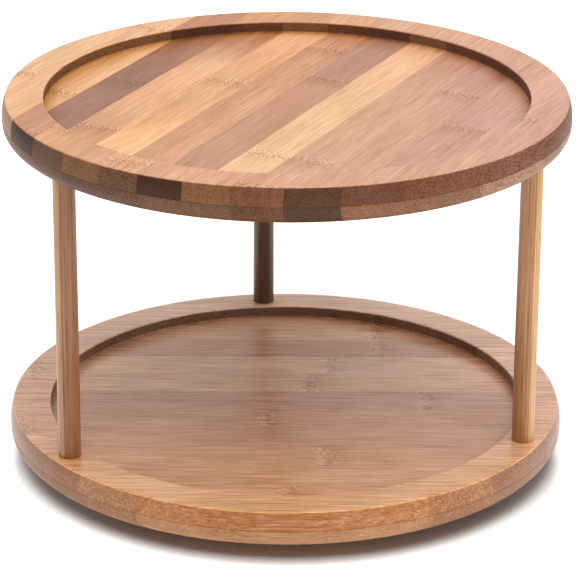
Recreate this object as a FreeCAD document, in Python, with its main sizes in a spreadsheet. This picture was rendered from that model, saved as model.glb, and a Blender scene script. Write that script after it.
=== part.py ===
import FreeCAD, Part
import math
import os
import re
import Sketcher

# A two-tier lazy susan: two round bamboo trays on three posts, turning on a ball race over a footed base.
# Millimetres, +Z up, the front towards -Y. The origin is on the floor, on the axis that the trays turn about.
# Every tray is two bamboo plies glued face to face, the upper one routed out to leave a lip. The posts stand
# in sockets in the lips. The trays, posts, upper race and pivot bolt turn as one; the base, its feet, the
# lower race and the bushing stand still; the cage and the balls roll between the races at half the speed.

doc = FreeCAD.newDocument("LazySusan")

# ---------------------------------------------------------------------------------- driving dimensions

SIZES = [
    ("tray_diameter", 254, "both trays, across their widest part"),
    ("tray_spacing", 130, "top of the lower tray to the underside of the upper tray"),
    ("tray_clearance", 12, "floor to the underside of the lower tray"),
    ("ply_thickness", 8.5, "each of a tray's two plies"),
    ("recess_diameter", 217, "inside the lip"),
    ("recess_depth", 5.5, "lip to floor"),
    ("lip_corner_radius", 0.5, "rounding along both sides of the lip"),
    ("edge_swell", 1.6, "the lip's outer corner out to the tray's widest part"),
    ("edge_swell_depth", 7.5, "lip down to the tray's widest part"),
    ("bottom_edge_radius", 7, "rounding at the bottom of a tray's edge"),
    ("post_count", 3, "evenly spaced"),
    ("post_diameter", 10, "round posts"),
    ("post_circle_radius", 117, "spin axis to post axis"),
    ("post_turn", 5.5, "degrees from straight behind to the rear post"),
    ("post_end_chamfer", 0.6, "on both ends of a post"),
    ("lower_socket_depth", 3, "sockets in the lower tray's lip"),
    ("upper_socket_depth", 8, "sockets under the upper tray"),
    ("glue_gap", 0.05, "all round a post in its socket"),
    ("base_diameter", 152, "base disc"),
    ("base_thickness", 8, "base disc"),
    ("base_edge_radius", 2.5, "rounding on the base disc's edges"),
    ("foot_count", 4, "rubber feet, evenly spaced"),
    ("foot_height", 3, "rubber feet"),
    ("foot_diameter", 16, "at the top of a foot"),
    ("foot_tread_diameter", 14.4, "at the bottom of a foot"),
    ("foot_circle_radius", 62, "spin axis to foot axis"),
    ("foot_seat_depth", 1, "seat in the base that a foot stands in"),
    ("foot_seat_gap", 0.1, "all round a foot in its seat"),
    ("foot_screw_head_radius", 2.8, "pan head"),
    ("foot_screw_head_height", 1.2, "pan head"),
    ("foot_screw_length", 6.5, "above the head"),
    ("foot_edge_radius", 0.5, "rounding at the tread, and bevel on a foot screw's head"),
    ("foot_recess_radius", 3.6, "in the tread, around the screw's head"),
    ("foot_recess_depth", 1.7, "in the tread, around the screw's head"),
    ("post_screw_length", 30, "countersunk screws into the posts, over all"),
    ("post_screw_head_radius", 3.7, "countersunk head"),
    ("post_screw_sink", 0.6, "head below the tray's underside"),
    ("post_thread_radius", 2, "outside the thread of a post screw"),
    ("post_thread_pitch", 1.8, "post screws"),
    ("post_thread_turns", 11, "post screws"),
    ("foot_thread_radius", 1.45, "outside the thread of a foot screw"),
    ("foot_thread_pitch", 1.1, "foot screws"),
    ("foot_thread_turns", 4, "foot screws"),
    ("thread_depth", 0.45, "wood screws"),
    ("screw_gap", 0.05, "all round a screw in its hole"),
    ("drill_room", 0.3, "past the tip of a screw"),
    ("driver_slot_reach", 1.9, "cross recess, middle to the end of an arm"),
    ("driver_slot_width", 0.9, "cross recess"),
    ("driver_slot_depth", 0.7, "cross recess"),
    ("ball_count", 12, "evenly spaced"),
    ("ball_radius", 3, "steel balls"),
    ("ball_circle_radius", 55, "spin axis to ball centre"),
    ("track_gap", 0.1, "ball to track"),
    ("race_thickness", 0.8, "pressed sheet"),
    ("race_flange", 8, "track's middle line to the edge of the flange"),
    ("cage_thickness", 1.2, "ball cage"),
    ("cage_half_width", 7, "track's middle line to the cage's edge"),
    ("pocket_gap", 0.2, "ball to cage"),
    ("groove_gap", 0.1, "race to groove"),
    ("bolt_radius", 3, "pivot bolt"),
    ("bolt_thread_depth", 0.6, "pivot bolt"),
    ("bolt_thread_pitch", 1, "pivot bolt"),
    ("bolt_thread_turns", 6, "pivot bolt"),
    ("bolt_end_room", 0.5, "bolt's end to the bottom of its hole"),
    ("bolt_head_radius", 5.25, "button head"),
    ("bolt_head_height", 2.6, "button head"),
    ("bolt_head_rounding", 2, "button head"),
    ("bolt_socket_radius", 2.3, "across the corners of the hexagon"),
    ("bolt_socket_depth", 1.6, "hexagon socket"),
    ("washer_radius", 7, "pivot washer"),
    ("washer_thickness", 1.1, "pivot washer"),
    ("washer_bore_gap", 0.2, "bolt to washer"),
    ("washer_end_gap", 0.1, "washer to base"),
    ("counterbore_radius", 8, "under the base, around the bolt's head"),
    ("counterbore_depth", 4.2, "under the base, around the bolt's head"),
    ("running_gap", 0.05, "bolt to bushing"),
    ("bushing_radius", 4.5, "sleeve of the bushing"),
    ("bushing_flange_radius", 7, "flange of the bushing"),
    ("bushing_flange_height", 1, "flange of the bushing"),
    ("insert_radius", 4.5, "outside the threaded insert's ribs"),
    ("insert_flange_radius", 6, "flange of the threaded insert"),
    ("insert_flange_height", 0.8, "flange of the threaded insert"),
    ("insert_depth", 7.5, "threaded insert, over all"),
    ("insert_rib_pitch", 1.5, "the insert's outside thread"),
    ("insert_rib_depth", 0.4, "the insert's outside thread"),
    ("insert_rib_turns", 4, "the insert's outside thread"),
]

sheet = doc.addObject("Spreadsheet::Sheet", "Sizes")
for row, (alias, size, note) in enumerate(SIZES, start=1):
    sheet.set(f"A{row}", alias.replace("_", " "))
    sheet.set(f"B{row}", str(size))
    sheet.setAlias(f"B{row}", alias)
    sheet.set(f"C{row}", note)
doc.recompute()


def formula(text):
    """An expression in which each name with an underscore is the sheet's cell of that name."""
    return re.sub(r"[a-z]+(?:_[a-z]+)+", lambda word: "Sizes." + word.group(), text)


def value(text):
    """What such an expression comes to, as a number."""
    return float(sheet.evalExpression(formula(text)))


def bind(thing, **sizes):
    """Bind a feature's properties to expressions."""
    for name, text in sizes.items():
        thing.setExpression(name, formula(text))


# Heights above the floor that more than one piece uses, in brackets so that they fit into longer expressions
BASE_UNDERSIDE = "(foot_height - foot_seat_depth)"
BASE_TOP = f"({BASE_UNDERSIDE} + base_thickness)"
BALL_HEIGHT = f"(({BASE_TOP} + tray_clearance) / 2)"
LOWER_LIP = "(tray_clearance + 2 * ply_thickness)"
UPPER_TRAY = f"({LOWER_LIP} + tray_spacing)"

# Radii and half widths that more than one piece uses
TRACK_BACK_RADIUS = "(ball_radius + track_gap + race_thickness)"
GROOVE_HALF_WIDTH = f"({TRACK_BACK_RADIUS} - race_thickness / 2)"
GROOVE_OUTSIDE = f"(ball_circle_radius + {GROOVE_HALF_WIDTH})"
GROOVE_INSIDE = f"(ball_circle_radius - {GROOVE_HALF_WIDTH})"
SEAT_OUTSIDE = "(ball_circle_radius + race_flange + groove_gap)"
SEAT_INSIDE = "(ball_circle_radius - race_flange - groove_gap)"
SOCKET_RADIUS = "(post_diameter / 2 + glue_gap)"
POST_SCREW_HOLE_RADIUS = "(post_thread_radius + screw_gap)"

nodes = []


# ------------------------------------------------------------------------------------ ways of working


def place(piece, x="0", y="0", z="0"):
    """Place a piece by expressions."""
    piece.setExpression("Placement.Base.x", formula(x))
    piece.setExpression("Placement.Base.y", formula(y))
    piece.setExpression("Placement.Base.z", formula(z))


def new_body(name, keep=True):
    """An empty body, kept as a node of its own unless it only serves a group."""
    body = doc.addObject("PartDesign::Body", name)
    body.Label = name
    if keep:
        nodes.append(body)
    return body


def origin_part(body, role):
    """One of a body's own origin planes or axes."""
    return next(part for part in body.Origin.OriginFeatures if part.Role == role)


def new_sketch(body, plane, name, lift=None):
    """A sketch on one of the body's own planes, lifted off it by an expression."""
    sketch = body.newObject("Sketcher::SketchObject", name)
    sketch.AttachmentSupport = (origin_part(body, plane), [""])
    sketch.MapMode = "FlatFace"
    if lift:
        sketch.setExpression("AttachmentOffset.Base.z", formula(lift))
    return sketch


def constrain(sketch, kind, *geometry, size):
    """A dimension constraint whose value is an expression."""
    index = sketch.addConstraint(Sketcher.Constraint(kind, *geometry, value(size)))
    sketch.setExpression(f"Constraints[{index}]", formula(size))


def put_point(sketch, edge, end, x, y):
    """Hold one end or centre of a sketch's edge at x, y. A zero is held on the axis itself."""
    if value(x) == 0:
        sketch.addConstraint(Sketcher.Constraint("PointOnObject", edge, end, -2))
    else:
        constrain(sketch, "DistanceX", -1, 1, edge, end, size=x)
    if value(y) == 0:
        sketch.addConstraint(Sketcher.Constraint("PointOnObject", edge, end, -1))
    else:
        constrain(sketch, "DistanceY", -1, 1, edge, end, size=y)


def add_circle(sketch, radius, x="0", y="0"):
    """A circle of that radius about x, y."""
    centre = FreeCAD.Vector(value(x), value(y), 0)
    edge = sketch.addGeometry(Part.Circle(centre, FreeCAD.Vector(0, 0, 1), value(radius)))
    put_point(sketch, edge, 3, x, y)
    constrain(sketch, "Radius", edge, size=radius)


def add_polygon(sketch, corners):
    """A closed outline through the corners."""
    points = [FreeCAD.Vector(value(x), value(y), 0) for x, y in corners]
    sides = zip(points, points[1:] + points[:1])
    edges = [sketch.addGeometry(Part.LineSegment(start, end)) for start, end in sides]
    for edge, following in zip(edges, edges[1:] + edges[:1]):
        sketch.addConstraint(Sketcher.Constraint("Coincident", edge, 2, following, 1))
    for edge, (x, y) in zip(edges, corners):
        put_point(sketch, edge, 1, x, y)


def turn(body, corners):
    """Revolve an outline of radius and height about the body's own Z axis."""
    sketch = new_sketch(body, "XZ_Plane", "ProfileSketch")
    add_polygon(sketch, corners)
    solid = body.newObject("PartDesign::Revolution", "Profile")
    solid.Profile = sketch
    solid.ReferenceAxis = (sketch, ["V_Axis"])
    solid.Angle = 360
    doc.recompute()


def pad(body, sketch, height):
    """Raise a sketch on the XY plane into a solid."""
    solid = body.newObject("PartDesign::Pad", "Pad")
    solid.Profile = sketch
    bind(solid, Length=height)
    doc.recompute()


def pocket(body, sketch, depth, name, upwards=False):
    """Cut a sketch down into the body, or up into it from below."""
    before = body.Shape.Volume
    cut = body.newObject("PartDesign::Pocket", name)
    cut.Profile = sketch
    cut.Reversed = upwards
    bind(cut, Length=depth)
    doc.recompute()
    if body.Shape.Volume > before - 1e-3:
        raise RuntimeError(f"{body.Label}: {name} cuts nothing")
    return cut


def cut_round(body, sketch, name):
    """Cut a sketch's outline all round the sketch's own vertical axis."""
    before = body.Shape.Volume
    cut = body.newObject("PartDesign::Groove", name)
    cut.Profile = sketch
    cut.ReferenceAxis = (sketch, ["V_Axis"])
    cut.Angle = 360
    doc.recompute()
    if body.Shape.Volume > before - 1e-3:
        raise RuntimeError(f"{body.Label}: {name} cuts nothing")
    return cut


def groove(body, corners, name, x="0", y="0"):
    """Cut an outline of radius and height all round a vertical axis at x, y."""
    sketch = new_sketch(body, "XZ_Plane", name + "Sketch", lift=f"-({y})")
    sketch.setExpression("AttachmentOffset.Base.x", formula(x))
    add_polygon(sketch, corners)
    return cut_round(body, sketch, name)


def bow_edge(body, radius, top, swell, depth, name):
    """Trim a round panel's outer edge to an arc that leans in, from its widest part up to its top corner."""
    low = f"{top} - {depth}"
    arc_radius = f"({swell} ^ 2 + {depth} ^ 2) / (2 * {swell})"
    centre = f"{radius} - {arc_radius}"
    outside = f"{radius} + {swell}"
    sketch = new_sketch(body, "XZ_Plane", name + "Sketch")
    circle = Part.Circle(
        FreeCAD.Vector(value(centre), value(low), 0), FreeCAD.Vector(0, 0, 1), value(arc_radius)
    )
    lean = math.asin(value(depth) / value(arc_radius))
    arc = sketch.addGeometry(Part.ArcOfCircle(circle, 0, lean))
    corners = [
        FreeCAD.Vector(value(f"{radius} - {swell}"), value(top), 0),
        FreeCAD.Vector(value(outside), value(top), 0),
        FreeCAD.Vector(value(outside), value(low), 0),
        FreeCAD.Vector(value(radius), value(low), 0),
    ]
    sides = [sketch.addGeometry(Part.LineSegment(*ends)) for ends in zip(corners, corners[1:])]
    loop = [arc] + sides
    for edge, following in zip(loop, loop[1:] + loop[:1]):
        sketch.addConstraint(Sketcher.Constraint("Coincident", edge, 2, following, 1))
    put_point(sketch, arc, 3, centre, low)
    constrain(sketch, "DistanceX", -1, 1, arc, 1, size=radius)
    constrain(sketch, "DistanceY", -1, 1, arc, 1, size=low)
    constrain(sketch, "DistanceY", -1, 1, arc, 2, size=top)
    put_point(sketch, sides[1], 1, outside, top)
    put_point(sketch, sides[1], 2, outside, low)
    return cut_round(body, sketch, name)


def round_about(body, feature, count, name):
    """Repeat a feature evenly about the body's own Z axis."""
    pattern = body.newObject("PartDesign::PolarPattern", name)
    pattern.Originals = [feature]
    pattern.Axis = (origin_part(body, "Z_Axis"), [""])
    pattern.Angle = 360
    bind(pattern, Occurrences=count)
    body.Tip = pattern
    doc.recompute()


def round_edges(body, rims, radius, name):
    """Round circular edges about the body's own Z axis, each given by its radius and height."""
    found = []
    for number, edge in enumerate(body.Tip.Shape.Edges, start=1):
        for rim_radius, height in rims:
            if is_rim(edge, value(rim_radius), value(height)):
                found.append(f"Edge{number}")
    if len(found) != len(rims):
        raise RuntimeError(f"{body.Label}: {name} found {len(found)} edges for {len(rims)} rims")
    shape_before = body.Tip
    fillet = body.newObject("PartDesign::Fillet", name)
    fillet.Base = (shape_before, found)
    bind(fillet, Radius=radius)
    doc.recompute()


def is_rim(edge, radius, height):
    """Whether an edge is the circle of that radius about the Z axis, at that height."""
    curve = edge.Curve
    if curve.TypeId != "Part::GeomCircle":
        return False
    offset = math.hypot(curve.Center.x, curve.Center.y) + abs(curve.Center.z - height)
    return offset + abs(curve.Radius - radius) < 1e-4


# One ridge of a thread: how far up its pitch its flank, crest and return flank each end
RIDGE_FLANK = 0.3
RIDGE_CREST = 0.4
RIDGE_RETURN = 0.7


def ridges(core, crest, start, turns, pitch):
    """Corners of a thread's ridges up a shank, as plain rings."""
    corners = []
    for turn_number in range(int(value(turns))):
        root = f"{start} + {turn_number} * {pitch}"
        corners.append((core, root))
        corners.append((crest, f"{root} + {pitch} * {RIDGE_FLANK}"))
        corners.append((crest, f"{root} + {pitch} * {RIDGE_CREST}"))
        corners.append((core, f"{root} + {pitch} * {RIDGE_RETURN}"))
    return corners


def on_circle(radius, degrees):
    """Expressions for x and y at an angle, anticlockwise from +X."""
    return f"{radius} * cos({degrees})", f"{radius} * sin({degrees})"


def post_spot(number):
    """Where a post's axis stands, counting anticlockwise from the rear post."""
    return on_circle("post_circle_radius", f"(90 + post_turn + {number} * 360 / post_count)")


def foot_spot(number):
    """Where a foot's axis stands, counting anticlockwise from the rear right foot."""
    return on_circle("foot_circle_radius", f"((0.5 + {number}) * 360 / foot_count)")


# --------------------------------------------------------------------------------------------- trays


def tray_panel(name, height):
    """One ply: a round panel standing at that height."""
    body = new_body(name)
    place(body, z=height)
    outline = new_sketch(body, "XY_Plane", "Outline")
    add_circle(outline, "tray_diameter / 2")
    pad(body, outline, "ply_thickness")
    return body


def upper_ply(name, height):
    """The routed ply that makes a tray's lip, recess and top edge."""
    body = tray_panel(name, height)
    recess = new_sketch(body, "XY_Plane", "RecessSketch", lift="ply_thickness")
    add_circle(recess, "recess_diameter / 2")
    pocket(body, recess, "recess_depth", "Recess")
    bow_edge(body, "tray_diameter / 2", "ply_thickness", "edge_swell", "edge_swell_depth", "BowedEdge")
    outer_corner = ("tray_diameter / 2 - edge_swell", "ply_thickness")
    recess_corner = ("recess_diameter / 2", "ply_thickness")
    round_edges(body, [outer_corner, recess_corner], "lip_corner_radius", "LipCorners")
    return body


def lower_ply(name, height):
    """The plain ply under it, rounded off at the bottom."""
    body = tray_panel(name, height)
    round_edges(body, [("tray_diameter / 2", "0")], "bottom_edge_radius", "BottomEdge")
    return body


def post_holes(body, radius, depth, name, lift=None, upwards=False):
    """A round hole at each post, cut from a plane at that lift."""
    sketch = new_sketch(body, "XY_Plane", name + "Sketch", lift=lift)
    add_circle(sketch, radius, *post_spot(0))
    hole = pocket(body, sketch, depth, name, upwards=upwards)
    round_about(body, hole, "post_count", name + "s")


upper_ply("top_tray_upper_ply", f"{UPPER_TRAY} + ply_thickness")

top_lower = lower_ply("top_tray_lower_ply", UPPER_TRAY)
post_holes(top_lower, SOCKET_RADIUS, "upper_socket_depth", "Socket", upwards=True)

bottom_upper = upper_ply("bottom_tray_upper_ply", "tray_clearance + ply_thickness")
post_holes(bottom_upper, SOCKET_RADIUS, "lower_socket_depth", "Socket", lift="ply_thickness")
post_holes(bottom_upper, POST_SCREW_HOLE_RADIUS, "ply_thickness", "ScrewHole", lift="ply_thickness")

bottom_lower = lower_ply("bottom_tray_lower_ply", "tray_clearance")
TRAY_GROOVE_TOP = f"{BALL_HEIGHT} + {TRACK_BACK_RADIUS} + groove_gap - tray_clearance"
groove(
    bottom_lower,
    [
        (SEAT_INSIDE, "0"),
        (SEAT_OUTSIDE, "0"),
        (SEAT_OUTSIDE, "race_thickness"),
        (GROOVE_OUTSIDE, "race_thickness"),
        (GROOVE_OUTSIDE, TRAY_GROOVE_TOP),
        (GROOVE_INSIDE, TRAY_GROOVE_TOP),
        (GROOVE_INSIDE, "race_thickness"),
        (SEAT_INSIDE, "race_thickness"),
    ],
    "RaceGroove",
)
groove(
    bottom_lower,
    [
        ("0", "0"),
        ("insert_flange_radius + groove_gap", "0"),
        ("insert_flange_radius + groove_gap", "insert_flange_height"),
        ("insert_radius", "insert_flange_height"),
        ("insert_radius", "insert_depth"),
        ("0", "insert_depth"),
    ],
    "InsertHole",
)
HEAD_HOLE_RADIUS = "(post_screw_head_radius + screw_gap)"
screw_hole = groove(
    bottom_lower,
    [
        ("0", "0"),
        (HEAD_HOLE_RADIUS, "0"),
        (HEAD_HOLE_RADIUS, "post_screw_sink"),
        (POST_SCREW_HOLE_RADIUS, f"post_screw_sink + {HEAD_HOLE_RADIUS} - {POST_SCREW_HOLE_RADIUS}"),
        (POST_SCREW_HOLE_RADIUS, "ply_thickness"),
        ("0", "ply_thickness"),
    ],
    "ScrewHole",
    *post_spot(0),
)
round_about(bottom_lower, screw_hole, "post_count", "ScrewHoles")


# --------------------------------------------------------------------------------------------- posts

POST_LENGTH = "(tray_spacing + lower_socket_depth + upper_socket_depth)"
POST_FOOT = f"({LOWER_LIP} - lower_socket_depth)"
SCREW_IN_POST = f"tray_clearance + post_screw_sink + post_screw_length + drill_room - {POST_FOOT}"

for number, side in enumerate(("rear", "left", "right")):
    post = new_body(f"post_{side}")
    place(post, *post_spot(number), POST_FOOT)
    turn(
        post,
        [
            (POST_SCREW_HOLE_RADIUS, "0"),
            ("post_diameter / 2 - post_end_chamfer", "0"),
            ("post_diameter / 2", "post_end_chamfer"),
            ("post_diameter / 2", f"{POST_LENGTH} - post_end_chamfer"),
            ("post_diameter / 2 - post_end_chamfer", POST_LENGTH),
            ("0", POST_LENGTH),
            ("0", SCREW_IN_POST),
            (POST_SCREW_HOLE_RADIUS, SCREW_IN_POST),
        ],
    )


# ------------------------------------------------------------------------------------------ wood screws


def wood_screw(name, head, core, crest, head_top, thread_start, turns, pitch, length):
    """One cross-recessed screw standing on its head, point upwards."""
    body = new_body(name, keep=False)
    shank = [(core, head_top)] + ridges(core, crest, thread_start, turns, pitch)
    turn(body, [("0", "0")] + head + shank + [("0", length)])
    slot = new_sketch(body, "XY_Plane", "DriverSlotSketch")
    half = "driver_slot_width / 2"
    add_polygon(
        slot,
        [
            (half, half),
            ("driver_slot_reach", half),
            ("driver_slot_reach", f"-({half})"),
            (half, f"-({half})"),
            (half, "-driver_slot_reach"),
            (f"-({half})", "-driver_slot_reach"),
            (f"-({half})", f"-({half})"),
            ("-driver_slot_reach", f"-({half})"),
            ("-driver_slot_reach", half),
            (f"-({half})", half),
            (f"-({half})", "driver_slot_reach"),
            (half, "driver_slot_reach"),
        ],
    )
    pocket(body, slot, "driver_slot_depth", "DriverSlot", upwards=True)
    return body


def group(name, members):
    """Identical fasteners kept together as one node of separate solids."""
    compound = doc.addObject("Part::Compound", name)
    compound.Label = name
    compound.Links = members
    nodes.append(compound)


POST_SCREW_CORE = "(post_thread_radius - thread_depth)"
post_screws = []
for number in range(int(value("post_count"))):
    screw = wood_screw(
        f"post_screw_{number + 1}",
        head=[("post_screw_head_radius", "0")],
        core=POST_SCREW_CORE,
        crest="post_thread_radius",
        head_top=f"post_screw_head_radius - {POST_SCREW_CORE}",
        thread_start="ply_thickness",
        turns="post_thread_turns",
        pitch="post_thread_pitch",
        length="post_screw_length",
    )
    place(screw, *post_spot(number), "tray_clearance + post_screw_sink")
    post_screws.append(screw)
group("post_screws", post_screws)


# ------------------------------------------------------------------------------------- base and feet

BASE_RADIUS = "base_diameter / 2"
RACE_SEAT = "base_thickness - race_thickness"
BASE_GROOVE_FLOOR = f"{BALL_HEIGHT} - {TRACK_BACK_RADIUS} - groove_gap - {BASE_UNDERSIDE}"

base = new_body("base_disc")
place(base, z=BASE_UNDERSIDE)
turn(
    base,
    [
        ("bushing_radius", "counterbore_depth"),
        ("counterbore_radius", "counterbore_depth"),
        ("counterbore_radius", "0"),
        (BASE_RADIUS, "0"),
        (BASE_RADIUS, "base_thickness"),
        (SEAT_OUTSIDE, "base_thickness"),
        (SEAT_OUTSIDE, RACE_SEAT),
        (GROOVE_OUTSIDE, RACE_SEAT),
        (GROOVE_OUTSIDE, BASE_GROOVE_FLOOR),
        (GROOVE_INSIDE, BASE_GROOVE_FLOOR),
        (GROOVE_INSIDE, RACE_SEAT),
        (SEAT_INSIDE, RACE_SEAT),
        (SEAT_INSIDE, "base_thickness"),
        ("bushing_radius", "base_thickness"),
    ],
)
round_edges(base, [(BASE_RADIUS, "0"), (BASE_RADIUS, "base_thickness")], "base_edge_radius", "Edges")

FOOT_HOLE_RADIUS = "foot_thread_radius + screw_gap"
FOOT_SCREW_CORE = "foot_thread_radius - thread_depth"
FOOT_SCREW_TIP = "foot_recess_depth + foot_screw_length"
for radius, depth, name in (
    ("foot_diameter / 2 + foot_seat_gap", "foot_seat_depth", "FootSeat"),
    (FOOT_HOLE_RADIUS, f"{FOOT_SCREW_TIP} + drill_room - {BASE_UNDERSIDE}", "FootScrewHole"),
):
    outline = new_sketch(base, "XY_Plane", name + "Sketch")
    add_circle(outline, radius, *foot_spot(0))
    hole = pocket(base, outline, depth, name, upwards=True)
    round_about(base, hole, "foot_count", name + "s")

foot_screws = []
for number, corner in enumerate(("rear_right", "rear_left", "front_left", "front_right")):
    foot = new_body(f"foot_{corner}")
    place(foot, *foot_spot(number))
    turn(
        foot,
        [
            ("foot_recess_radius", "0"),
            ("foot_tread_diameter / 2", "0"),
            ("foot_diameter / 2", BASE_UNDERSIDE),
            ("foot_diameter / 2", "foot_height"),
            (FOOT_HOLE_RADIUS, "foot_height"),
            (FOOT_HOLE_RADIUS, "foot_recess_depth"),
            ("foot_recess_radius", "foot_recess_depth"),
        ],
    )
    round_edges(foot, [("foot_tread_diameter / 2", "0")], "foot_edge_radius", "TreadEdge")

    screw = wood_screw(
        f"foot_screw_{number + 1}",
        head=[
            ("foot_screw_head_radius - foot_edge_radius", "0"),
            ("foot_screw_head_radius", "foot_edge_radius"),
            ("foot_screw_head_radius", "foot_screw_head_height"),
        ],
        core=FOOT_SCREW_CORE,
        crest="foot_thread_radius",
        head_top="foot_screw_head_height",
        thread_start="foot_screw_head_height + foot_thread_pitch",
        turns="foot_thread_turns",
        pitch="foot_thread_pitch",
        length="foot_screw_head_height + foot_screw_length",
    )
    place(screw, *foot_spot(number), "foot_recess_depth - foot_screw_head_height")
    foot_screws.append(screw)
group("foot_screws", foot_screws)


# ---------------------------------------------------------------------------------------- ball bearing

HALF_GAP = f"((tray_clearance - {BASE_TOP}) / 2)"


def primitive(kind, name, **sizes):
    """One of Part's own solids, sized by expressions."""
    solid = doc.addObject(f"Part::{kind}", name)
    bind(solid, **sizes)
    return solid


def boolean(kind, name, base, tool):
    """The cut, fusion or common part of two solids."""
    result = doc.addObject(f"Part::{kind}", name)
    if kind == "MultiFuse":
        result.Shapes = [base, tool]
    else:
        result.Base = base
        result.Tool = tool
    return result


def race(name):
    """A pressed ring with a round track, its origin amid the balls' centres and its back downwards."""
    circle = "ball_circle_radius"
    rim = f"{circle} + race_flange"
    back = primitive("Torus", name + "_back", Radius1=circle, Radius2=TRACK_BACK_RADIUS)
    below = primitive("Cylinder", name + "_below", Radius=rim, Height="ball_radius * 2")
    place(below, z=f"-{HALF_GAP} - ball_radius * 2")
    trough = boolean("Common", name + "_trough", back, below)
    plate = primitive("Cylinder", name + "_plate", Radius=rim, Height="race_thickness")
    place(plate, z=f"-{HALF_GAP} - race_thickness")
    pressed = boolean("MultiFuse", name + "_pressed", plate, trough)
    hollow = f"{circle} - race_flange"
    middle = primitive("Cylinder", name + "_middle", Radius=hollow, Height="ball_radius * 4")
    place(middle, z="-ball_radius * 2")
    ring = boolean("Cut", name + "_ring", pressed, middle)
    track = primitive("Torus", name + "_track", Radius1=circle, Radius2="ball_radius + track_gap")
    finished = boolean("Cut", name, ring, track)
    finished.Label = name
    place(finished, z=BALL_HEIGHT)
    nodes.append(finished)
    return finished


race("lower_race")
upper_race = race("upper_race")
upper_race.setExpression("Placement.Rotation.Angle", "180")
upper_race.Placement.Rotation.Axis = FreeCAD.Vector(1, 0, 0)

cage = new_body("ball_cage")
place(cage, z=f"{BALL_HEIGHT} - cage_thickness / 2")
ring = new_sketch(cage, "XY_Plane", "RingSketch")
add_circle(ring, "ball_circle_radius + cage_half_width")
add_circle(ring, "ball_circle_radius - cage_half_width")
pad(cage, ring, "cage_thickness")
opening = new_sketch(cage, "XY_Plane", "BallPocketSketch", lift="cage_thickness")
add_circle(opening, "ball_radius + pocket_gap", "ball_circle_radius")
ball_pocket = pocket(cage, opening, "cage_thickness", "BallPocket")
round_about(cage, ball_pocket, "ball_count", "BallPockets")

for number in range(int(value("ball_count"))):
    ball = primitive("Sphere", f"ball_{number + 1:02d}", Radius="ball_radius")
    ball.Label = ball.Name
    place(ball, *on_circle("ball_circle_radius", f"({number} * 360 / ball_count)"), BALL_HEIGHT)
    nodes.append(ball)


# ----------------------------------------------------------------------------------------------- pivot

SLEEVE_LENGTH = "(base_thickness - counterbore_depth)"
BUSHING_BORE = "bolt_radius + running_gap"
SHANK_FOOT = f"({BASE_UNDERSIDE} + counterbore_depth - washer_end_gap - washer_thickness)"
BOLT_LENGTH = f"(tray_clearance + insert_depth - bolt_end_room - {SHANK_FOOT} + bolt_head_height)"

bushing = new_body("pivot_bushing")
place(bushing, z=f"{BASE_UNDERSIDE} + counterbore_depth")
turn(
    bushing,
    [
        (BUSHING_BORE, "0"),
        ("bushing_radius", "0"),
        ("bushing_radius", SLEEVE_LENGTH),
        ("bushing_flange_radius", SLEEVE_LENGTH),
        ("bushing_flange_radius", f"{SLEEVE_LENGTH} + bushing_flange_height"),
        (BUSHING_BORE, f"{SLEEVE_LENGTH} + bushing_flange_height"),
    ],
)

thickness = "washer_thickness"
disc = primitive("Cylinder", "washer_disc", Radius="washer_radius", Height=thickness)
bore = primitive("Cylinder", "washer_bore", Radius="bolt_radius + washer_bore_gap", Height=thickness)
washer = boolean("Cut", "pivot_washer", disc, bore)
washer.Label = washer.Name
place(washer, z=SHANK_FOOT)
nodes.append(washer)

INSERT_CORE = "(insert_radius - insert_rib_depth)"
insert = new_body("threaded_insert")
place(insert, z="tray_clearance")
turn(
    insert,
    [
        ("bolt_radius + screw_gap", "0"),
        ("insert_flange_radius", "0"),
        ("insert_flange_radius", "insert_flange_height"),
        *ridges(INSERT_CORE, "insert_radius", "insert_flange_height", "insert_rib_turns", "insert_rib_pitch"),
        (INSERT_CORE, "insert_depth"),
        ("bolt_radius + screw_gap", "insert_depth"),
    ],
)

BOLT_CORE = "(bolt_radius - bolt_thread_depth)"
bolt = new_body("pivot_bolt")
place(bolt, z=f"{SHANK_FOOT} - bolt_head_height")
THREAD_START = f"(tray_clearance - {SHANK_FOOT} + bolt_head_height)"
turn(
    bolt,
    [
        ("0", "0"),
        ("bolt_head_radius", "0"),
        ("bolt_head_radius", "bolt_head_height"),
        ("bolt_radius", "bolt_head_height"),
        ("bolt_radius", THREAD_START),
        *ridges(BOLT_CORE, "bolt_radius", THREAD_START, "bolt_thread_turns", "bolt_thread_pitch"),
        (BOLT_CORE, BOLT_LENGTH),
        ("0", BOLT_LENGTH),
    ],
)
round_edges(bolt, [("bolt_head_radius", "0")], "bolt_head_rounding", "HeadRounding")
hexagon = new_sketch(bolt, "XY_Plane", "SocketSketch")
add_polygon(hexagon, [on_circle("bolt_socket_radius", f"({corner} * 60 + 30)") for corner in range(6)])
pocket(bolt, hexagon, "bolt_socket_depth", "Socket", upwards=True)


# ----------------------------------------------------------------------------------- check and write

doc.recompute()
for item in doc.Objects:
    if "Invalid" in item.State or "Error" in item.State:
        raise RuntimeError(f"{item.Label} failed: {item.getStatusString()}")
for node in nodes:
    if node.Shape.isNull() or not node.Shape.isValid():
        raise RuntimeError(f"{node.Label} has no valid shape")

os.makedirs("parts", exist_ok=True)
for node in nodes:
    node.Shape.exportStep(f"parts/{node.Label}.step")
print(len(nodes), "nodes written")
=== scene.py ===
"""Looks, light and camera for the two-tier lazy susan turntable.

Every visible piece is a CAD node with a procedural material. Lengths inside the materials are in millimetres.
"""

import math

import bpy
from mathutils import Matrix, Vector


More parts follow.
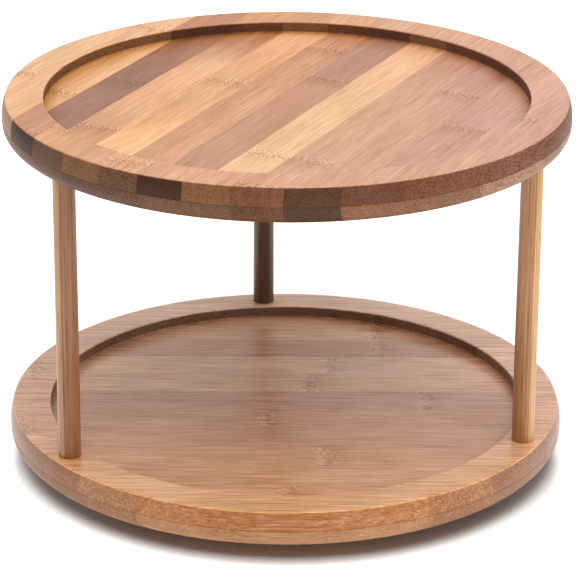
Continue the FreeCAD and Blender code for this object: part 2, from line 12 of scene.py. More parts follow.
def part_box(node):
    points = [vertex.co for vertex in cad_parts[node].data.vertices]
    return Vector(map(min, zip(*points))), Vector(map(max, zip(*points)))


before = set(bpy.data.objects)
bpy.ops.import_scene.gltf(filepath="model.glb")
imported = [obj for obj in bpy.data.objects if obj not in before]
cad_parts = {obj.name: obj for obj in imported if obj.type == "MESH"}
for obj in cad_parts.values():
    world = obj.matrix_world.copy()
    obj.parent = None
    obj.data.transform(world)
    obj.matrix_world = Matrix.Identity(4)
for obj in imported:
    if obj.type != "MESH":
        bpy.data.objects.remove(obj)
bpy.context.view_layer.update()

# Where the photographer stood, and how the camera was turned.
CAMERA_PLACE = Vector((0.0, -1.2997, 0.5987))
CAMERA_PITCH = 21.683
CAMERA_YAW = 0.038
CAMERA_ROLL = 0.329
CAMERA_LENS = 191.3
SENSOR_WIDTH = 36.0

# The turntable's own measures that the looks depend on, in millimetres.
TRAY_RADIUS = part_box("top_tray_upper_ply")[1].x * 1000
EDGE_SWELL = 1.6
LIP_OUTSIDE = TRAY_RADIUS - EDGE_SWELL
BASE_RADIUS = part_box("base_disc")[1].x * 1000
RECESS_RADIUS = 108.5
RECESS_DEPTH = 5.5
UNDERSIDE_RADIUS = 121.0


def tone(red, green, blue):
    """A screen colour, 0 to 255 each, as the linear colour that nodes take."""
    linear = []
    for part in (red, green, blue):
        part = part / 255
        linear.append(part / 12.92 if part <= 0.04045 else ((part + 0.055) / 1.055) ** 2.4)
    return (*linear, 1.0)


# The Mix node has sockets of one name for numbers, vectors and colours, so its colour sockets go by number.
MIX_COLOUR_A = 6
MIX_COLOUR_B = 7
MIX_COLOUR_RESULT = 2


class Look:
    """One material, with short calls that write its nodes.

    Each call returns the socket that carries its result.
    """

    def __init__(self, name):
        self.material = bpy.data.materials.new(name)
        self.material.use_nodes = True
        self.tree = self.material.node_tree
        self.tree.nodes.clear()
        self.shader = self.node("ShaderNodeBsdfPrincipled")
        output = self.node("ShaderNodeOutputMaterial")
        self.tree.links.new(self.shader.outputs["BSDF"], output.inputs["Surface"])

    def node(self, kind, **settings):
        made = self.tree.nodes.new(kind)
        for setting, value in settings.items():
            setattr(made, setting, value)
        return made

    def put(self, socket, value):
        """Links a socket's value, or sets a plain one."""
        if isinstance(value, bpy.types.NodeSocket):
            self.tree.links.new(value, socket)
        else:
            socket.default_value = value

    def finish(self, **values):
        """Sets the shader's own sockets by name, with _ for each space, and returns the material."""
        for socket, value in values.items():
            self.put(self.shader.inputs[socket.replace("_", " ")], value)
        return self.material

    def place(self, turn=0.0):
        """The point on the object in millimetres, turned about Z."""
        here = self.node("ShaderNodeTexCoord").outputs["Object"]
        turned = self.node("ShaderNodeMapping")
        self.put(turned.inputs["Vector"], here)
        turned.inputs["Rotation"].default_value = (0, 0, math.radians(turn))
        turned.inputs["Scale"].default_value = (1000, 1000, 1000)
        return turned.outputs["Vector"]

    def scaled(self, vector, factors):
        made = self.node("ShaderNodeVectorMath", operation="MULTIPLY")
        self.put(made.inputs[0], vector)
        self.put(made.inputs[1], factors)
        return made.outputs["Vector"]

    def moved(self, vector, step):
        made = self.node("ShaderNodeVectorMath", operation="ADD")
        self.put(made.inputs[0], vector)
        self.put(made.inputs[1], step)
        return made.outputs["Vector"]

    def split(self, vector):
        made = self.node("ShaderNodeSeparateXYZ")
        self.put(made.inputs["Vector"], vector)
        return made.outputs["X"], made.outputs["Y"], made.outputs["Z"]

    def joined(self, x, y, z):
        made = self.node("ShaderNodeCombineXYZ")
        for socket, value in zip(made.inputs, (x, y, z)):
            self.put(socket, value)
        return made.outputs["Vector"]

    def math(self, operation, first, second=0.0, third=0.0):
        made = self.node("ShaderNodeMath", operation=operation)
        for socket, value in zip(made.inputs, (first, second, third)):
            self.put(socket, value)
        return made.outputs["Value"]

    def fade(self, value, start, end, low=0.0, high=1.0):
        """Low at start and high at end, with a smooth step between."""
        made = self.node("ShaderNodeMapRange", interpolation_type="SMOOTHSTEP")
        self.put(made.inputs["Value"], value)
        self.put(made.inputs["From Min"], start)
        self.put(made.inputs["From Max"], end)
        self.put(made.inputs["To Min"], low)
        self.put(made.inputs["To Max"], high)
        return made.outputs["Result"]

    def noise(self, vector, scale=1.0, detail=2.0, roughness=0.5):
        made = self.node("ShaderNodeTexNoise")
        self.put(made.inputs["Vector"], vector)
        self.put(made.inputs["Scale"], scale)
        self.put(made.inputs["Detail"], detail)
        self.put(made.inputs["Roughness"], roughness)
        return made.outputs["Fac"]

    def cells(self, vector, scale=1.0):
        """The distance from the nearest of many scattered points."""
        made = self.node("ShaderNodeTexVoronoi")
        self.put(made.inputs["Vector"], vector)
        self.put(made.inputs["Scale"], scale)
        return made.outputs["Distance"]

    def mix(self, factor, first, second, blend="MIX"):
        made = self.node("ShaderNodeMix", data_type="RGBA", blend_type=blend)
        self.put(made.inputs["Factor"], factor)
        self.put(made.inputs[MIX_COLOUR_A], first)
        self.put(made.inputs[MIX_COLOUR_B], second)
        return made.outputs[MIX_COLOUR_RESULT]

    def steps(self, index, values):
        """The value of a list at a whole number index: colours, or single numbers from 0 to 1."""
        made = self.node("ShaderNodeValToRGB")
        ramp = made.color_ramp
        ramp.interpolation = "CONSTANT"
        while len(ramp.elements) < len(values):
            ramp.elements.new(1.0)
        for k, value in enumerate(values):
            ramp.elements[k].position = k / len(values)
            ramp.elements[k].color = value if isinstance(value, tuple) else (value, value, value, 1.0)
        middle = self.math("DIVIDE", self.math("ADD", index, 0.5), len(values))
        self.put(made.inputs["Fac"], middle)
        return made.outputs["Color"]

    def shade(self, colour, value):
        """The colour times a value, a little richer where it gets darker, as wood does."""
        made = self.node("ShaderNodeHueSaturation")
        self.put(made.inputs["Color"], colour)
        self.put(made.inputs["Value"], value)
        self.put(made.inputs["Saturation"], self.math("MULTIPLY_ADD", value, -0.45, 1.45))
        return made.outputs["Color"]

    def bump(self, height, distance, strength=1.0):
        made = self.node("ShaderNodeBump")
        self.put(made.inputs["Height"], height)
        self.put(made.inputs["Distance"], distance)
        self.put(made.inputs["Strength"], strength)
        return made.outputs["Normal"]


# ---------------------------------------------------------------- bamboo

LACQUER_IOR = 1.46

# How the recess's wall is darkened next to the floor's tone: partly its grain under the lacquer, partly
# painted shade in the recess.
WALL_GRAIN_AND_SHADE = tone(134, 124, 112)

# A ring this far along a strip is off the board. Rings stand between plus and minus half of RING_RANGE.
NO_RING = 999.0
RING_RANGE = 2000.0

# How far each strip's grain is moved along from the next one's, so that no two strips look alike.
STRIP_SHIFT = 311.0


def ring_list(positions):
    """Where each strip's growth ring crosses it, as the 0 to 1 numbers that steps() holds."""
    return [0.5 + p / RING_RANGE for p in positions]


def bamboo(
    name, turn, first, pitch, floor, lip, side, dots, rings, lip_rings, flats,
    glue=None, fibre=(0.55, 1.35), gloss=False,
):
    """Edge-glued bamboo strips that run along the turned X axis.

    first is the first joint's place across the grain, and pitch is the strips' width. floor holds the strips'
    tones at the far end, the middle and the near end. lip holds them on the highest flat, and side on upright
    faces, where the fibres' ends show as dots. dots says how strongly they show on each strip. rings and
    lip_rings are the places of the growth rings along the strips, on the floor and on the lip. flats lists
    each flat level's height and the radius that it reaches. glue is the height of the joint between plies.
    fibre is how wide the fibres look and how far they vary, and gloss gives a clear shiny lacquer.
    """
    look = Look(name)
    along, across, height = look.split(look.place(turn))
    place = look.math("DIVIDE", look.math("SUBTRACT", across, first), pitch)
    strip = look.math("FLOOR", place)
    within = look.math("FRACT", place)
    grain = look.joined(look.math("MULTIPLY_ADD", strip, STRIP_SHIFT, along), across, height)
    radius = look.math("SQRT", look.math("MULTIPLY_ADD", along, along, look.math("MULTIPLY", across, across)))

    # Where the surface is flat, on the lip, upright, or an outer edge that cuts across the fibres.
    flat = 0.0
    for level, reach in flats:
        beside = look.fade(look.math("ABSOLUTE", look.math("SUBTRACT", height, level)), 0.9, 0.3)
        inside = look.fade(radius, reach + 0.3, reach)
        flat = look.math("MAXIMUM", flat, look.math("MULTIPLY", beside, inside))
    upright = look.math("SUBTRACT", 1.0, flat)
    lip_level = flats[0][0]
    on_lip = look.fade(height, lip_level - 1.6, lip_level - 0.6)
    outer = look.fade(radius, RECESS_RADIUS + 3.0, RECESS_RADIUS + 5.0)
    end_grain = look.math("MULTIPLY", upright, outer)

    # Long fibres, the streaks that they gather into, and slow changes along each strip.
    width, vary = fibre
    fibres = look.noise(look.scaled(grain, (1 / 26, 1 / width, 1 / width)), detail=3.0, roughness=0.75)
    streaks = look.noise(look.scaled(grain, (1 / 110, 1 / 2.6, 1 / 2.6)), detail=2.0)
    clouds = look.noise(look.scaled(grain, (1 / 60, 1 / 22, 1 / 22)), detail=1.0)
    bundles = look.cells(look.scaled(grain, (1 / 22, 1 / 0.7, 1 / 0.7)))
    dot = look.fade(bundles, 0.5, 0.2)

    # Across the fibres' ends: dark bundles in paler pith, drawn out a little by the curve of the edge.
    ends = look.noise(look.scaled(grain, (1 / 3.0, 1 / 0.6, 1 / 0.9)), detail=2.0, roughness=0.6)

    # A growth ring: a ragged narrow band of dark and pale flecks, shaded on one side.
    ring_at = look.mix(on_lip, look.steps(strip, ring_list(rings)), look.steps(strip, ring_list(lip_rings)))
    ring_at = look.math("MULTIPLY_ADD", ring_at, RING_RANGE, -RING_RANGE / 2)
    wander = look.joined(look.math("MULTIPLY", strip, 7.3), look.math("DIVIDE", across, 3.0), 0.0)
    bend = look.noise(wander, detail=3.0)
    off = look.math("SUBTRACT", look.math("MULTIPLY_ADD", bend, 9.0, along), look.math("ADD", ring_at, 4.5))
    distance = look.math("ABSOLUTE", off)
    flecks = look.noise(look.scaled(grain, (1 / 1.8, 1 / 0.8, 1 / 0.8)), detail=3.0, roughness=0.7)
    line = look.fade(distance, 3.0, 0.5)
    shade = look.math("MULTIPLY", look.fade(off, -1.5, 1.0), look.fade(off, 14.0, 1.0))
    near = look.fade(distance, 8.0, 2.5)
    fleck = look.math("MULTIPLY", near, look.math("SUBTRACT", flecks, 0.5))

    # The joints between the strips.
    from_middle = look.math("ABSOLUTE", look.math("SUBTRACT", within, 0.5))
    joint = look.fade(look.math("MULTIPLY", look.math("SUBTRACT", 0.5, from_middle), pitch), 0.32, 0.08)

    # The corner between the recess's floor and its wall, darkened all round with painted shade.
    rising = look.fade(radius, RECESS_RADIUS - 7.0, RECESS_RADIUS)
    painted_corner_shade = look.math("MULTIPLY", look.math("MULTIPLY", rising, flat), look.math("SUBTRACT", 1.0, on_lip))

    # How much lighter or darker all of these make the wood.
    value = look.math("MULTIPLY_ADD", look.math("SUBTRACT", fibres, 0.5), vary, 1.0)
    value = look.math("MULTIPLY_ADD", look.math("SUBTRACT", streaks, 0.5), 0.42, value)
    value = look.math("MULTIPLY_ADD", look.math("SUBTRACT", clouds, 0.5), 0.35, value)
    value = look.math("MULTIPLY_ADD", fleck, 2.6, value)
    value = look.math("MULTIPLY_ADD", line, -0.04, value)
    value = look.math("MULTIPLY_ADD", shade, -0.13, value)
    value = look.math("MULTIPLY_ADD", joint, -0.08, value)
    strength = look.steps(strip, dots)
    depth = look.math("MULTIPLY", strength, look.fade(end_grain, 0.0, 1.0, 0.2, 1.0))
    dotted = look.math("MULTIPLY", look.math("SUBTRACT", dot, 0.35), depth)
    value = look.math("MULTIPLY_ADD", dotted, -0.7, value)
    speckled = look.math("MULTIPLY", strength, end_grain)
    speckle = look.math("MULTIPLY", look.math("SUBTRACT", ends, 0.5), speckled)
    value = look.math("ADD", speckle, value)
    # Painted shade: the recess's floor darkens towards its wall.
    value = look.math("MULTIPLY_ADD", painted_corner_shade, -0.25, value)
    if glue is not None:
        seam = look.fade(look.math("ABSOLUTE", look.math("SUBTRACT", height, glue)), 0.5, 0.1)
        value = look.math("MULTIPLY_ADD", seam, -0.25, value)

    # The strips' own tones, on the floor, the lip and the edge, and on the recess's wall, which also carries
    # painted shade.
    far, middle, close = (look.steps(strip, tones) for tones in floor)
    base = look.mix(look.fade(along, -8.0, -80.0), middle, far)
    base = look.mix(look.fade(along, 8.0, 80.0), base, close)
    # The wall is the floor's tone darkened: partly its own grain, partly painted shade in the recess.
    wall = look.mix(1.0, base, WALL_GRAIN_AND_SHADE, "MULTIPLY")
    base = look.mix(on_lip, base, look.steps(strip, lip))
    base = look.mix(upright, base, look.mix(outer, wall, look.steps(strip, side)))

    relief = look.math("MULTIPLY_ADD", dot, -0.35, fibres)
    relief = look.math("MULTIPLY_ADD", joint, -0.8, relief)
    relief = look.math("MULTIPLY_ADD", fleck, 0.6, relief)
    dull = 0.24 if gloss else 0.28
    roughness = look.math("MULTIPLY_ADD", streaks, 0.16, look.math("MULTIPLY_ADD", upright, 0.2, dull))
    return look.finish(
        Base_Color=look.shade(base, value),
        Roughness=roughness,
        Normal=look.bump(relief, 0.00006, 0.6),
        IOR=LACQUER_IOR,
        Specular_IOR_Level=0.42 if gloss else 0.24,
        Coat_Weight=0.3 if gloss else 0.05,
        Coat_Roughness=0.2,
    )


def post_bamboo(name, node, layers):
    """Bamboo glued up in upright layers.

    layers lists each layer from left to right: where it starts, from the post's middle, and its tone. On the
    side posts a pale outer layer is partly a painted highlight, and the rear post's tones are partly painted
    shade.
    """
    look = Look(name)
    low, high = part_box(node)
    centre = (low + high) / 2 * 1000
    here = look.moved(look.place(), (-centre.x, -centre.y, 0.0))
    left = look.split(here)[0]
    fibres = look.noise(look.scaled(here, (1 / 0.6, 1 / 0.6, 1 / 60)), detail=3.0, roughness=0.65)
    streaks = look.noise(look.scaled(here, (1 / 2.4, 1 / 2.4, 1 / 110)), detail=2.0)
    clouds = look.noise(look.scaled(here, (1 / 20, 1 / 20, 1 / 45)), detail=1.0)
    bundles = look.cells(look.scaled(here, (1 / 1.1, 1 / 1.1, 1 / 20)))
    dot = look.fade(bundles, 0.4, 0.15)

    base = layers[0][1]
    joint = 0.0
    for place, tint in layers[1:]:
        base = look.mix(look.fade(left, place - 0.12, place + 0.12), base, tint)
        mark = look.fade(look.math("ABSOLUTE", look.math("SUBTRACT", left, place)), 0.3, 0.08)
        joint = look.math("MAXIMUM", joint, mark)

    value = look.math("MULTIPLY_ADD", look.math("SUBTRACT", fibres, 0.5), 1.3, 1.0)
    value = look.math("MULTIPLY_ADD", look.math("SUBTRACT", streaks, 0.5), 0.6, value)
    value = look.math("MULTIPLY_ADD", look.math("SUBTRACT", clouds, 0.5), 0.3, value)
    value = look.math("MULTIPLY_ADD", dot, -0.175, value)
    value = look.math("MULTIPLY_ADD", joint, -0.3, value)
    relief = look.math("MULTIPLY_ADD", joint, -0.8, fibres)
    return look.finish(
        Base_Color=look.shade(base, value),
        Roughness=look.math("MULTIPLY_ADD", streaks, 0.16, 0.3),
        Normal=look.bump(relief, 0.00006, 0.6),
        IOR=LACQUER_IOR,
        Coat_Weight=0.1,
        Coat_Roughness=0.25,
    )


# The top tray: strips of mixed honey, tan and brown at a slant. Each list runs from the left strip to the
# right one.
TOP_TURN = 115.6
TOP_FIRST = -131.0
TOP_PITCH = 20.5
TOP_FLOOR_FAR = [
    tone(205, 150, 99), tone(205, 150, 99), tone(152, 98, 68), tone(174, 118, 81), tone(208, 150, 103),
    tone(180, 124, 87), tone(160, 112, 88), tone(214, 160, 120), tone(180, 128, 99), tone(172, 122, 101),
    tone(180, 130, 105), tone(176, 128, 104), tone(176, 128, 104),
]
TOP_FLOOR_MIDDLE = [
    tone(205, 150, 102), tone(205, 150, 102), tone(138, 92, 66), tone(210, 155, 112), tone(198, 144, 97),
    tone(184, 130, 92), tone(180, 129, 100), tone(208, 164, 121), tone(188, 139, 107), tone(185, 136, 109),
    tone(175, 125, 103), tone(184, 136, 112), tone(184, 136, 112),
]
TOP_FLOOR_NEAR = [
    tone(205, 150, 102), tone(205, 150, 102), tone(138, 92, 68), tone(190, 136, 98), tone(220, 166, 114),
    tone(188, 132, 95), tone(172, 124, 95), tone(212, 166, 124), tone(190, 141, 111), tone(186, 137, 110),
    tone(182, 133, 109), tone(184, 136, 112), tone(184, 136, 112),
]
TOP_LIP = [
    tone(206, 157, 112), tone(208, 158, 114), tone(172, 118, 84), tone(192, 138, 96), tone(188, 134, 97),
    tone(198, 146, 110), tone(192, 140, 107), tone(194, 144, 111), tone(192, 142, 112), tone(187, 136, 106),
    tone(185, 136, 108), tone(186, 137, 111), tone(183, 135, 112),
]
TOP_SIDE = [
    tone(150, 104, 66), tone(146, 100, 64), tone(54, 26, 4), tone(84, 54, 26), tone(104, 68, 34),
    tone(86, 52, 22), tone(56, 26, 4), tone(112, 70, 40), tone(104, 62, 34), tone(72, 38, 12),
    tone(90, 49, 22), tone(101, 54, 26), tone(102, 56, 28),
]
TOP_DOTS = [0.6, 0.5, 0.3, 0.35, 0.4, 1.0, 0.5, 0.4, 0.4, 0.45, 0.45, 0.45, 0.7]
TOP_RINGS = [NO_RING, 30, 3, 66, -17, -81, -40, 66, 66, -46, -4, NO_RING, NO_RING]
TOP_LIP_RINGS = [28, -60, 100, 88, NO_RING, 115, NO_RING, NO_RING, 118, NO_RING, NO_RING, -12, NO_RING]

# The top tray's lower ply, whose strips line up with the upper ply's.
TOP_LOWER_SIDE = [
    tone(120, 84, 58), tone(108, 76, 52), tone(98, 66, 44), tone(90, 58, 36), tone(82, 52, 30),
    tone(84, 52, 28), tone(96, 62, 38), tone(96, 62, 36), tone(92, 56, 30), tone(66, 38, 16),
    tone(116, 74, 46), tone(116, 76, 50), tone(138, 100, 74),
]

# The bottom tray: an even warm tan, with strips along X. Each list runs from the front strip to the rear one.
# The base disc takes its tones from the lower ply's.
BOTTOM_FIRST = -130.2
BOTTOM_PITCH = 20.85
BOTTOM_FLOOR = [
    tone(220, 160, 110), tone(214, 150, 102), tone(208, 146, 97), tone(207, 149, 104), tone(200, 143, 104),
    tone(197, 142, 106), tone(192, 138, 105), tone(213, 163, 128), tone(216, 166, 132), tone(188, 137, 105),
    tone(200, 149, 117), tone(202, 153, 120), tone(204, 155, 122),
]
BOTTOM_LIP = [
    tone(228, 168, 114), tone(226, 166, 114), tone(222, 164, 114), tone(218, 162, 120), tone(214, 162, 124),
    tone(214, 162, 128), tone(210, 160, 128), tone(214, 166, 134), tone(214, 166, 136), tone(206, 160, 132),
    tone(208, 162, 134), tone(208, 164, 136), tone(210, 166, 140),
]
BOTTOM_SIDE = [
    tone(164, 103, 53), tone(150, 94, 46), tone(132, 78, 34), tone(124, 76, 38), tone(126, 82, 46),
    tone(136, 92, 56), tone(144, 98, 62), tone(150, 106, 72), tone(152, 110, 78), tone(142, 98, 68),
    tone(142, 98, 68), tone(142, 98, 68), tone(142, 98, 68),
]
BOTTOM_DOTS = [0.15, 0.45, 0.3, 0.4, 0.4, 0.4, 0.4, 0.4, 0.4, 0.4, 0.4, 0.4, 0.4]
BOTTOM_RINGS = [NO_RING, 1, NO_RING, 19, NO_RING, -8, 66, 10, 20, 46, 43, NO_RING, NO_RING]
BOTTOM_LIP_RINGS = [
    NO_RING, 1, NO_RING, NO_RING, -119, 98, NO_RING, -119, NO_RING, NO_RING, NO_RING, NO_RING, NO_RING,
]
BOTTOM_LOWER_SIDE = [
    tone(168, 120, 82), tone(146, 100, 68), tone(138, 98, 70), tone(136, 100, 76), tone(140, 104, 80),
    tone(148, 110, 86), tone(150, 112, 88), tone(150, 112, 88), tone(150, 112, 88), tone(146, 104, 78),
    tone(146, 104, 78), tone(146, 104, 78), tone(146, 104, 78),
]


def dress(node, material):
    """Gives a CAD node a better material in every one of its slots."""
    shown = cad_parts[node]
    for held in shown.material_slots:
        held.material = material


def dress_bamboo():
    """The trays' plies, the base and the posts."""
    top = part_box("top_tray_upper_ply")[1].z * 1000
    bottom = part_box("bottom_tray_upper_ply")[1].z * 1000
    top_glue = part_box("top_tray_upper_ply")[0].z * 1000
    bottom_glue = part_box("bottom_tray_upper_ply")[0].z * 1000
    top_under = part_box("top_tray_lower_ply")[0].z * 1000
    bottom_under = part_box("bottom_tray_lower_ply")[0].z * 1000
    base_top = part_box("base_disc")[1].z * 1000
    base_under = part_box("base_disc")[0].z * 1000
    dress("top_tray_upper_ply", bamboo(
        "bamboo_top_upper", TOP_TURN, TOP_FIRST, TOP_PITCH, (TOP_FLOOR_FAR, TOP_FLOOR_MIDDLE, TOP_FLOOR_NEAR),
        TOP_LIP, TOP_SIDE, TOP_DOTS, TOP_RINGS, TOP_LIP_RINGS,
        [(top, LIP_OUTSIDE), (top - RECESS_DEPTH, RECESS_RADIUS)], top_glue,
    ))
    dress("top_tray_lower_ply", bamboo(
        "bamboo_top_lower", TOP_TURN, TOP_FIRST, TOP_PITCH, (TOP_LOWER_SIDE,) * 3,
        TOP_LOWER_SIDE, TOP_LOWER_SIDE, TOP_DOTS, TOP_RINGS, TOP_RINGS,
        [(top_under, UNDERSIDE_RADIUS)], top_glue,
    ))
    dress("bottom_tray_upper_ply", bamboo(
        "bamboo_bottom_upper", 0.0, BOTTOM_FIRST, BOTTOM_PITCH, (BOTTOM_FLOOR,) * 3,
        BOTTOM_LIP, BOTTOM_SIDE, BOTTOM_DOTS, BOTTOM_RINGS, BOTTOM_LIP_RINGS,
        [(bottom, LIP_OUTSIDE), (bottom - RECESS_DEPTH, RECESS_RADIUS)], bottom_glue,
        fibre=(0.9, 1.8), gloss=True,
    ))
    dress("bottom_tray_lower_ply", bamboo(
        "bamboo_bottom_lower", 0.0, BOTTOM_FIRST, BOTTOM_PITCH, (BOTTOM_LOWER_SIDE,) * 3,
        BOTTOM_LOWER_SIDE, BOTTOM_LOWER_SIDE, BOTTOM_DOTS, BOTTOM_RINGS, BOTTOM_RINGS,
        [(bottom_under, UNDERSIDE_RADIUS)], bottom_glue,
    ))
    dress("base_disc", bamboo(
        "bamboo_base", 90.0, BOTTOM_FIRST, BOTTOM_PITCH, (BOTTOM_LOWER_SIDE,) * 3,
        BOTTOM_LOWER_SIDE, BOTTOM_LOWER_SIDE, BOTTOM_DOTS, BOTTOM_RINGS, BOTTOM_RINGS,
        [(base_top, BASE_RADIUS), (base_under, BASE_RADIUS)],
    ))
    # The left post's pale left layer is partly the wood's own tone and partly a painted highlight on that
    # side.
    dress("post_left", post_bamboo("bamboo_post_left_and_highlight", "post_left", [
        (-5.0, tone(156, 112, 70)), (-1.9, tone(132, 86, 52)), (3.4, tone(142, 94, 58)),
    ]))
    # The right post's pale right layer is partly the wood's own tone and partly a painted highlight on that
    # side.
    dress("post_right", post_bamboo("bamboo_post_right_and_highlight", "post_right", [
        (-5.0, tone(154, 106, 65)), (1.8, tone(180, 136, 85)),
    ]))
    # The rear post's dark tones are partly the wood's own and partly painted shade.
    dress("post_rear", post_bamboo("bamboo_post_rear_and_shade", "post_rear", [
        (-5.0, tone(92, 60, 40)), (1.0, tone(80, 50, 34)),
    ]))


# ---------------------------------------------------------------- rubber, metals and plastics


def rubber(name):
    """Dark grey rubber with a fine matt texture, paler dust where it rubs."""
    look = Look(name)
    here = look.place()
    grit = look.noise(here, 2.2, detail=3.0)
    dust = look.fade(look.noise(here, 0.16, detail=4.0, roughness=0.7), 0.45, 0.75)
    low = look.fade(look.split(here)[2], 1.0, 0.0)
    colour = look.mix(look.math("MULTIPLY", dust, 0.5), tone(42, 41, 40), tone(96, 92, 86))
    colour = look.mix(look.math("MULTIPLY", low, 0.35), colour, tone(104, 100, 94))
    return look.finish(
        Base_Color=colour,
        Roughness=look.math("MULTIPLY_ADD", grit, 0.25, 0.6),
        Normal=look.bump(grit, 0.00008, 0.7),
        Specular_IOR_Level=0.35,
    )


def plated_steel(name, base, roughness, wear):
    """Zinc-plated steel: cloudy plating, fine turning lines about Z, and duller spots of wear."""
    look = Look(name)
    here = look.place()
    clouds = look.noise(here, 0.35, detail=3.0)
    spots = look.fade(look.noise(here, 0.9, detail=3.0, roughness=0.7), 0.55, 0.8)
    lines = look.noise(look.scaled(here, (0.2, 0.2, 9.0)))
    pale = look.mix(clouds, base, look.mix(1.0, base, tone(225, 225, 220), "MULTIPLY"))
    colour = look.mix(look.math("MULTIPLY", spots, wear), pale, tone(120, 116, 108))
    dull = look.math("MULTIPLY_ADD", spots, 0.25, look.math("MULTIPLY_ADD", clouds, 0.18, roughness))
    return look.finish(
        Base_Color=colour,
        Metallic=1.0,
        Roughness=dull,
        Normal=look.bump(lines, 0.00002, 0.5),
    )


def race_steel(name, track):
    """Pressed steel race: brushed round its axis, with the polished track that the balls run on."""
    look = Look(name)
    here = look.place()
    x, y, z = look.split(here)
    radius = look.math("SQRT", look.math("ADD", look.math("MULTIPLY", x, x), look.math("MULTIPLY", y, y)))
    round_axis = look.joined(look.math("MULTIPLY", radius, 4.0), look.math("MULTIPLY", z, 4.0), 0.0)
    brushed = look.noise(round_axis, detail=3.0)
    clouds = look.noise(here, 0.12, detail=3.0)
    worn = look.fade(look.math("ABSOLUTE", look.math("SUBTRACT", radius, track)), 2.4, 0.6)
    colour = look.mix(clouds, tone(176, 178, 180), tone(206, 206, 203))
    colour = look.mix(look.math("MULTIPLY", worn, 0.6), colour, tone(232, 232, 230))
    dull = look.math("MULTIPLY_ADD", brushed, 0.15, look.math("MULTIPLY_ADD", worn, -0.14, 0.28))
    return look.finish(
        Base_Color=colour,
        Metallic=1.0,
        Roughness=dull,
        Normal=look.bump(brushed, 0.00002, 0.5),
    )


def ball_steel(name):
    """Polished bearing steel under a thin uneven film of grease."""
    look = Look(name)
    here = look.place()
    film = look.fade(look.noise(here, 0.5, detail=3.0), 0.4, 0.7)
    scuffs = look.noise(here, 4.0, detail=2.0)
    colour = look.mix(film, tone(214, 216, 220), tone(188, 184, 172))
    dull = look.math("MULTIPLY_ADD", film, 0.14, look.math("MULTIPLY_ADD", scuffs, 0.05, 0.06))
    return look.finish(
        Base_Color=colour,
        Metallic=1.0,
        Roughness=dull,
        Normal=look.bump(scuffs, 0.000005, 0.3),
    )


def nylon(name):
    """Milky moulded nylon with faint flow marks."""
    look = Look(name)
    here = look.place()
    flow = look.noise(look.scaled(here, (1 / 9, 1 / 9, 1 / 2)), detail=3.0)
    fine = look.noise(here, 3.0, detail=2.0)
    colour = look.mix(flow, tone(206, 203, 192), tone(228, 226, 217))
    return look.finish(
        Base_Color=colour,
        Roughness=look.math("MULTIPLY_ADD", fine, 0.15, 0.42),
        Normal=look.bump(fine, 0.00003, 0.5),
        Subsurface_Weight=0.08,
        Subsurface_Scale=0.002,
    )


def brass(name):
    """Turned brass, tarnished in places."""
    look = Look(name)
    here = look.place()
    z = look.split(here)[2]
    tarnish = look.fade(look.noise(here, 0.45, detail=4.0, roughness=0.65), 0.42, 0.7)
    lines = look.noise(look.joined(0.0, 0.0, look.math("MULTIPLY", z, 12.0)))
    colour = look.mix(tarnish, tone(214, 178, 104), tone(158, 122, 66))
    dull = look.math("MULTIPLY_ADD", tarnish, 0.2, 0.24)
    return look.finish(
        Base_Color=colour,
        Metallic=1.0,
        Roughness=dull,
        Normal=look.bump(lines, 0.00002, 0.5),
    )


def dress_hardware():
    """The feet, the fasteners, the pivot and the bearing."""
    feet = rubber("rubber_foot")
    screws = plated_steel("zinc_screws", tone(196, 197, 196), 0.26, 0.35)
    bolt = plated_steel("zinc_bolt", tone(186, 187, 188), 0.3, 0.45)
    track = sum(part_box("ball_01")[k].xy.length for k in (0, 1)) * 500
    races = race_steel("pressed_race", track)
    balls = ball_steel("bearing_ball")
    plastic = nylon("nylon")
    threads = brass("turned_brass")
    for node in sorted(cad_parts):
        if node.startswith("foot_") and node != "foot_screws":
            dress(node, feet)
        elif node in ("post_screws", "foot_screws"):
            dress(node, screws)
        elif node.endswith("_race"):
            dress(node, races)
        elif node.startswith("ball_") and node != "ball_cage":
            dress(node, balls)
        elif node in ("ball_cage", "pivot_bushing"):
            dress(node, plastic)
        elif node in ("pivot_bolt", "pivot_washer"):
            dress(node, bolt)
        elif node == "threaded_insert":
            dress(node, threads)


# ---------------------------------------------------------------- floor, light and camera


def pale_floor():
    """A plain pale floor, wide enough for every view."""
    half = 4.0
    corners = [(-half, -half, 0), (half, -half, 0), (half, half, 0), (-half, half, 0)]
    mesh = bpy.data.meshes.new("floor")
    mesh.from_pydata(corners, [], [(0, 1, 2, 3)])
    floor = bpy.data.objects.new("floor", mesh)
    bpy.context.scene.collection.objects.link(floor)
    look = Look("pale_floor")
    soft = look.noise(look.place(), 0.02, detail=2.0)
    colour = look.mix(soft, (0.86, 0.86, 0.86, 1.0), (0.9, 0.9, 0.9, 1.0))
    mesh.materials.append(look.finish(Base_Color=colour, Roughness=0.75, Specular_IOR_Level=0.2))
    return floor


def softbox(name, place, aim, size, power):
    """A square area light at place that points at aim."""
    light = bpy.data.lights.new(name, "AREA")
    light.shape = "SQUARE"
    light.size = size
    light.energy = power
    lamp = bpy.data.objects.new(name, light)
    bpy.context.scene.collection.objects.link(lamp)
    lamp.location = place
    lamp.rotation_euler = (Vector(aim) - Vector(place)).to_track_quat("-Z", "Y").to_euler()
    return lamp


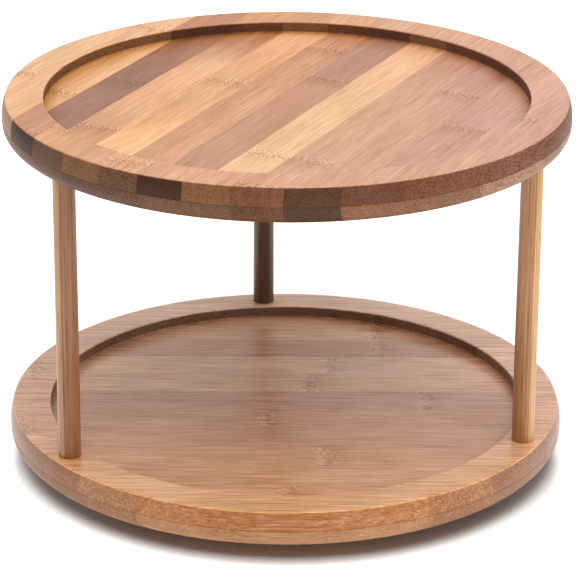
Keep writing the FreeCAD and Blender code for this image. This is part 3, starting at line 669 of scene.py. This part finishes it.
def studio_light(floor):
    """A dim white surround, soft lights on every side of the turntable, and two washes that whiten its floor.

    Light linking keeps the two sets apart, so that the floor can be white without bleaching the wood.
    """
    world = bpy.data.worlds.new("studio")
    bpy.context.scene.world = world
    world.use_nodes = True
    backdrop = world.node_tree.nodes["Background"]
    backdrop.inputs["Color"].default_value = (1.0, 1.0, 1.0, 1.0)
    backdrop.inputs["Strength"].default_value = 0.3
    middle = (0.0, 0.0, 0.1)

    turntable = bpy.data.collections.new("lit_by_softboxes")
    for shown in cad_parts.values():
        turntable.objects.link(shown)
    ground = bpy.data.collections.new("lit_by_washes")
    ground.objects.link(floor)
    for name, place, size, power, receivers in (
        ("overhead", (0.0, 0.25, 1.6), 1.1, 15.0, turntable),
        ("front", (0.3, -1.25, 1.35), 1.5, 20.0, turntable),
        ("left", (-1.5, -0.1, 0.55), 1.2, 4.5, turntable),
        ("right", (1.5, -0.1, 0.55), 1.2, 10.0, turntable),
        ("rear_left", (-0.43, 1.5, 0.75), 0.8, 1.3, turntable),
        ("rear_right", (0.43, 1.5, 0.75), 0.8, 1.7, turntable),
        ("wash_front", (-0.1, -1.6, 2.0), 1.1, 90.0, ground),
        ("wash_rear", (0.0, 1.6, 2.0), 1.1, 70.0, ground),
    ):
        lamp = softbox(name, place, middle, size, power)
        lamp.light_linking.receiver_collection = receivers


def photo_camera():
    """The camera where the photographer stood."""
    lens = bpy.data.cameras.new("photo_camera")
    lens.lens = CAMERA_LENS
    lens.sensor_width = SENSOR_WIDTH
    camera = bpy.data.objects.new("photo_camera", lens)
    bpy.context.scene.collection.objects.link(camera)
    turn = Matrix.Rotation(math.radians(-CAMERA_YAW), 4, "Z")
    turn = turn @ Matrix.Rotation(math.radians(90 - CAMERA_PITCH), 4, "X")
    turn = turn @ Matrix.Rotation(math.radians(CAMERA_ROLL), 4, "Z")
    camera.matrix_world = Matrix.Translation(CAMERA_PLACE) @ turn
    bpy.context.scene.camera = camera
    bpy.context.scene.view_settings.view_transform = "Standard"


dress_bamboo()
dress_hardware()
studio_light(pale_floor())
photo_camera()
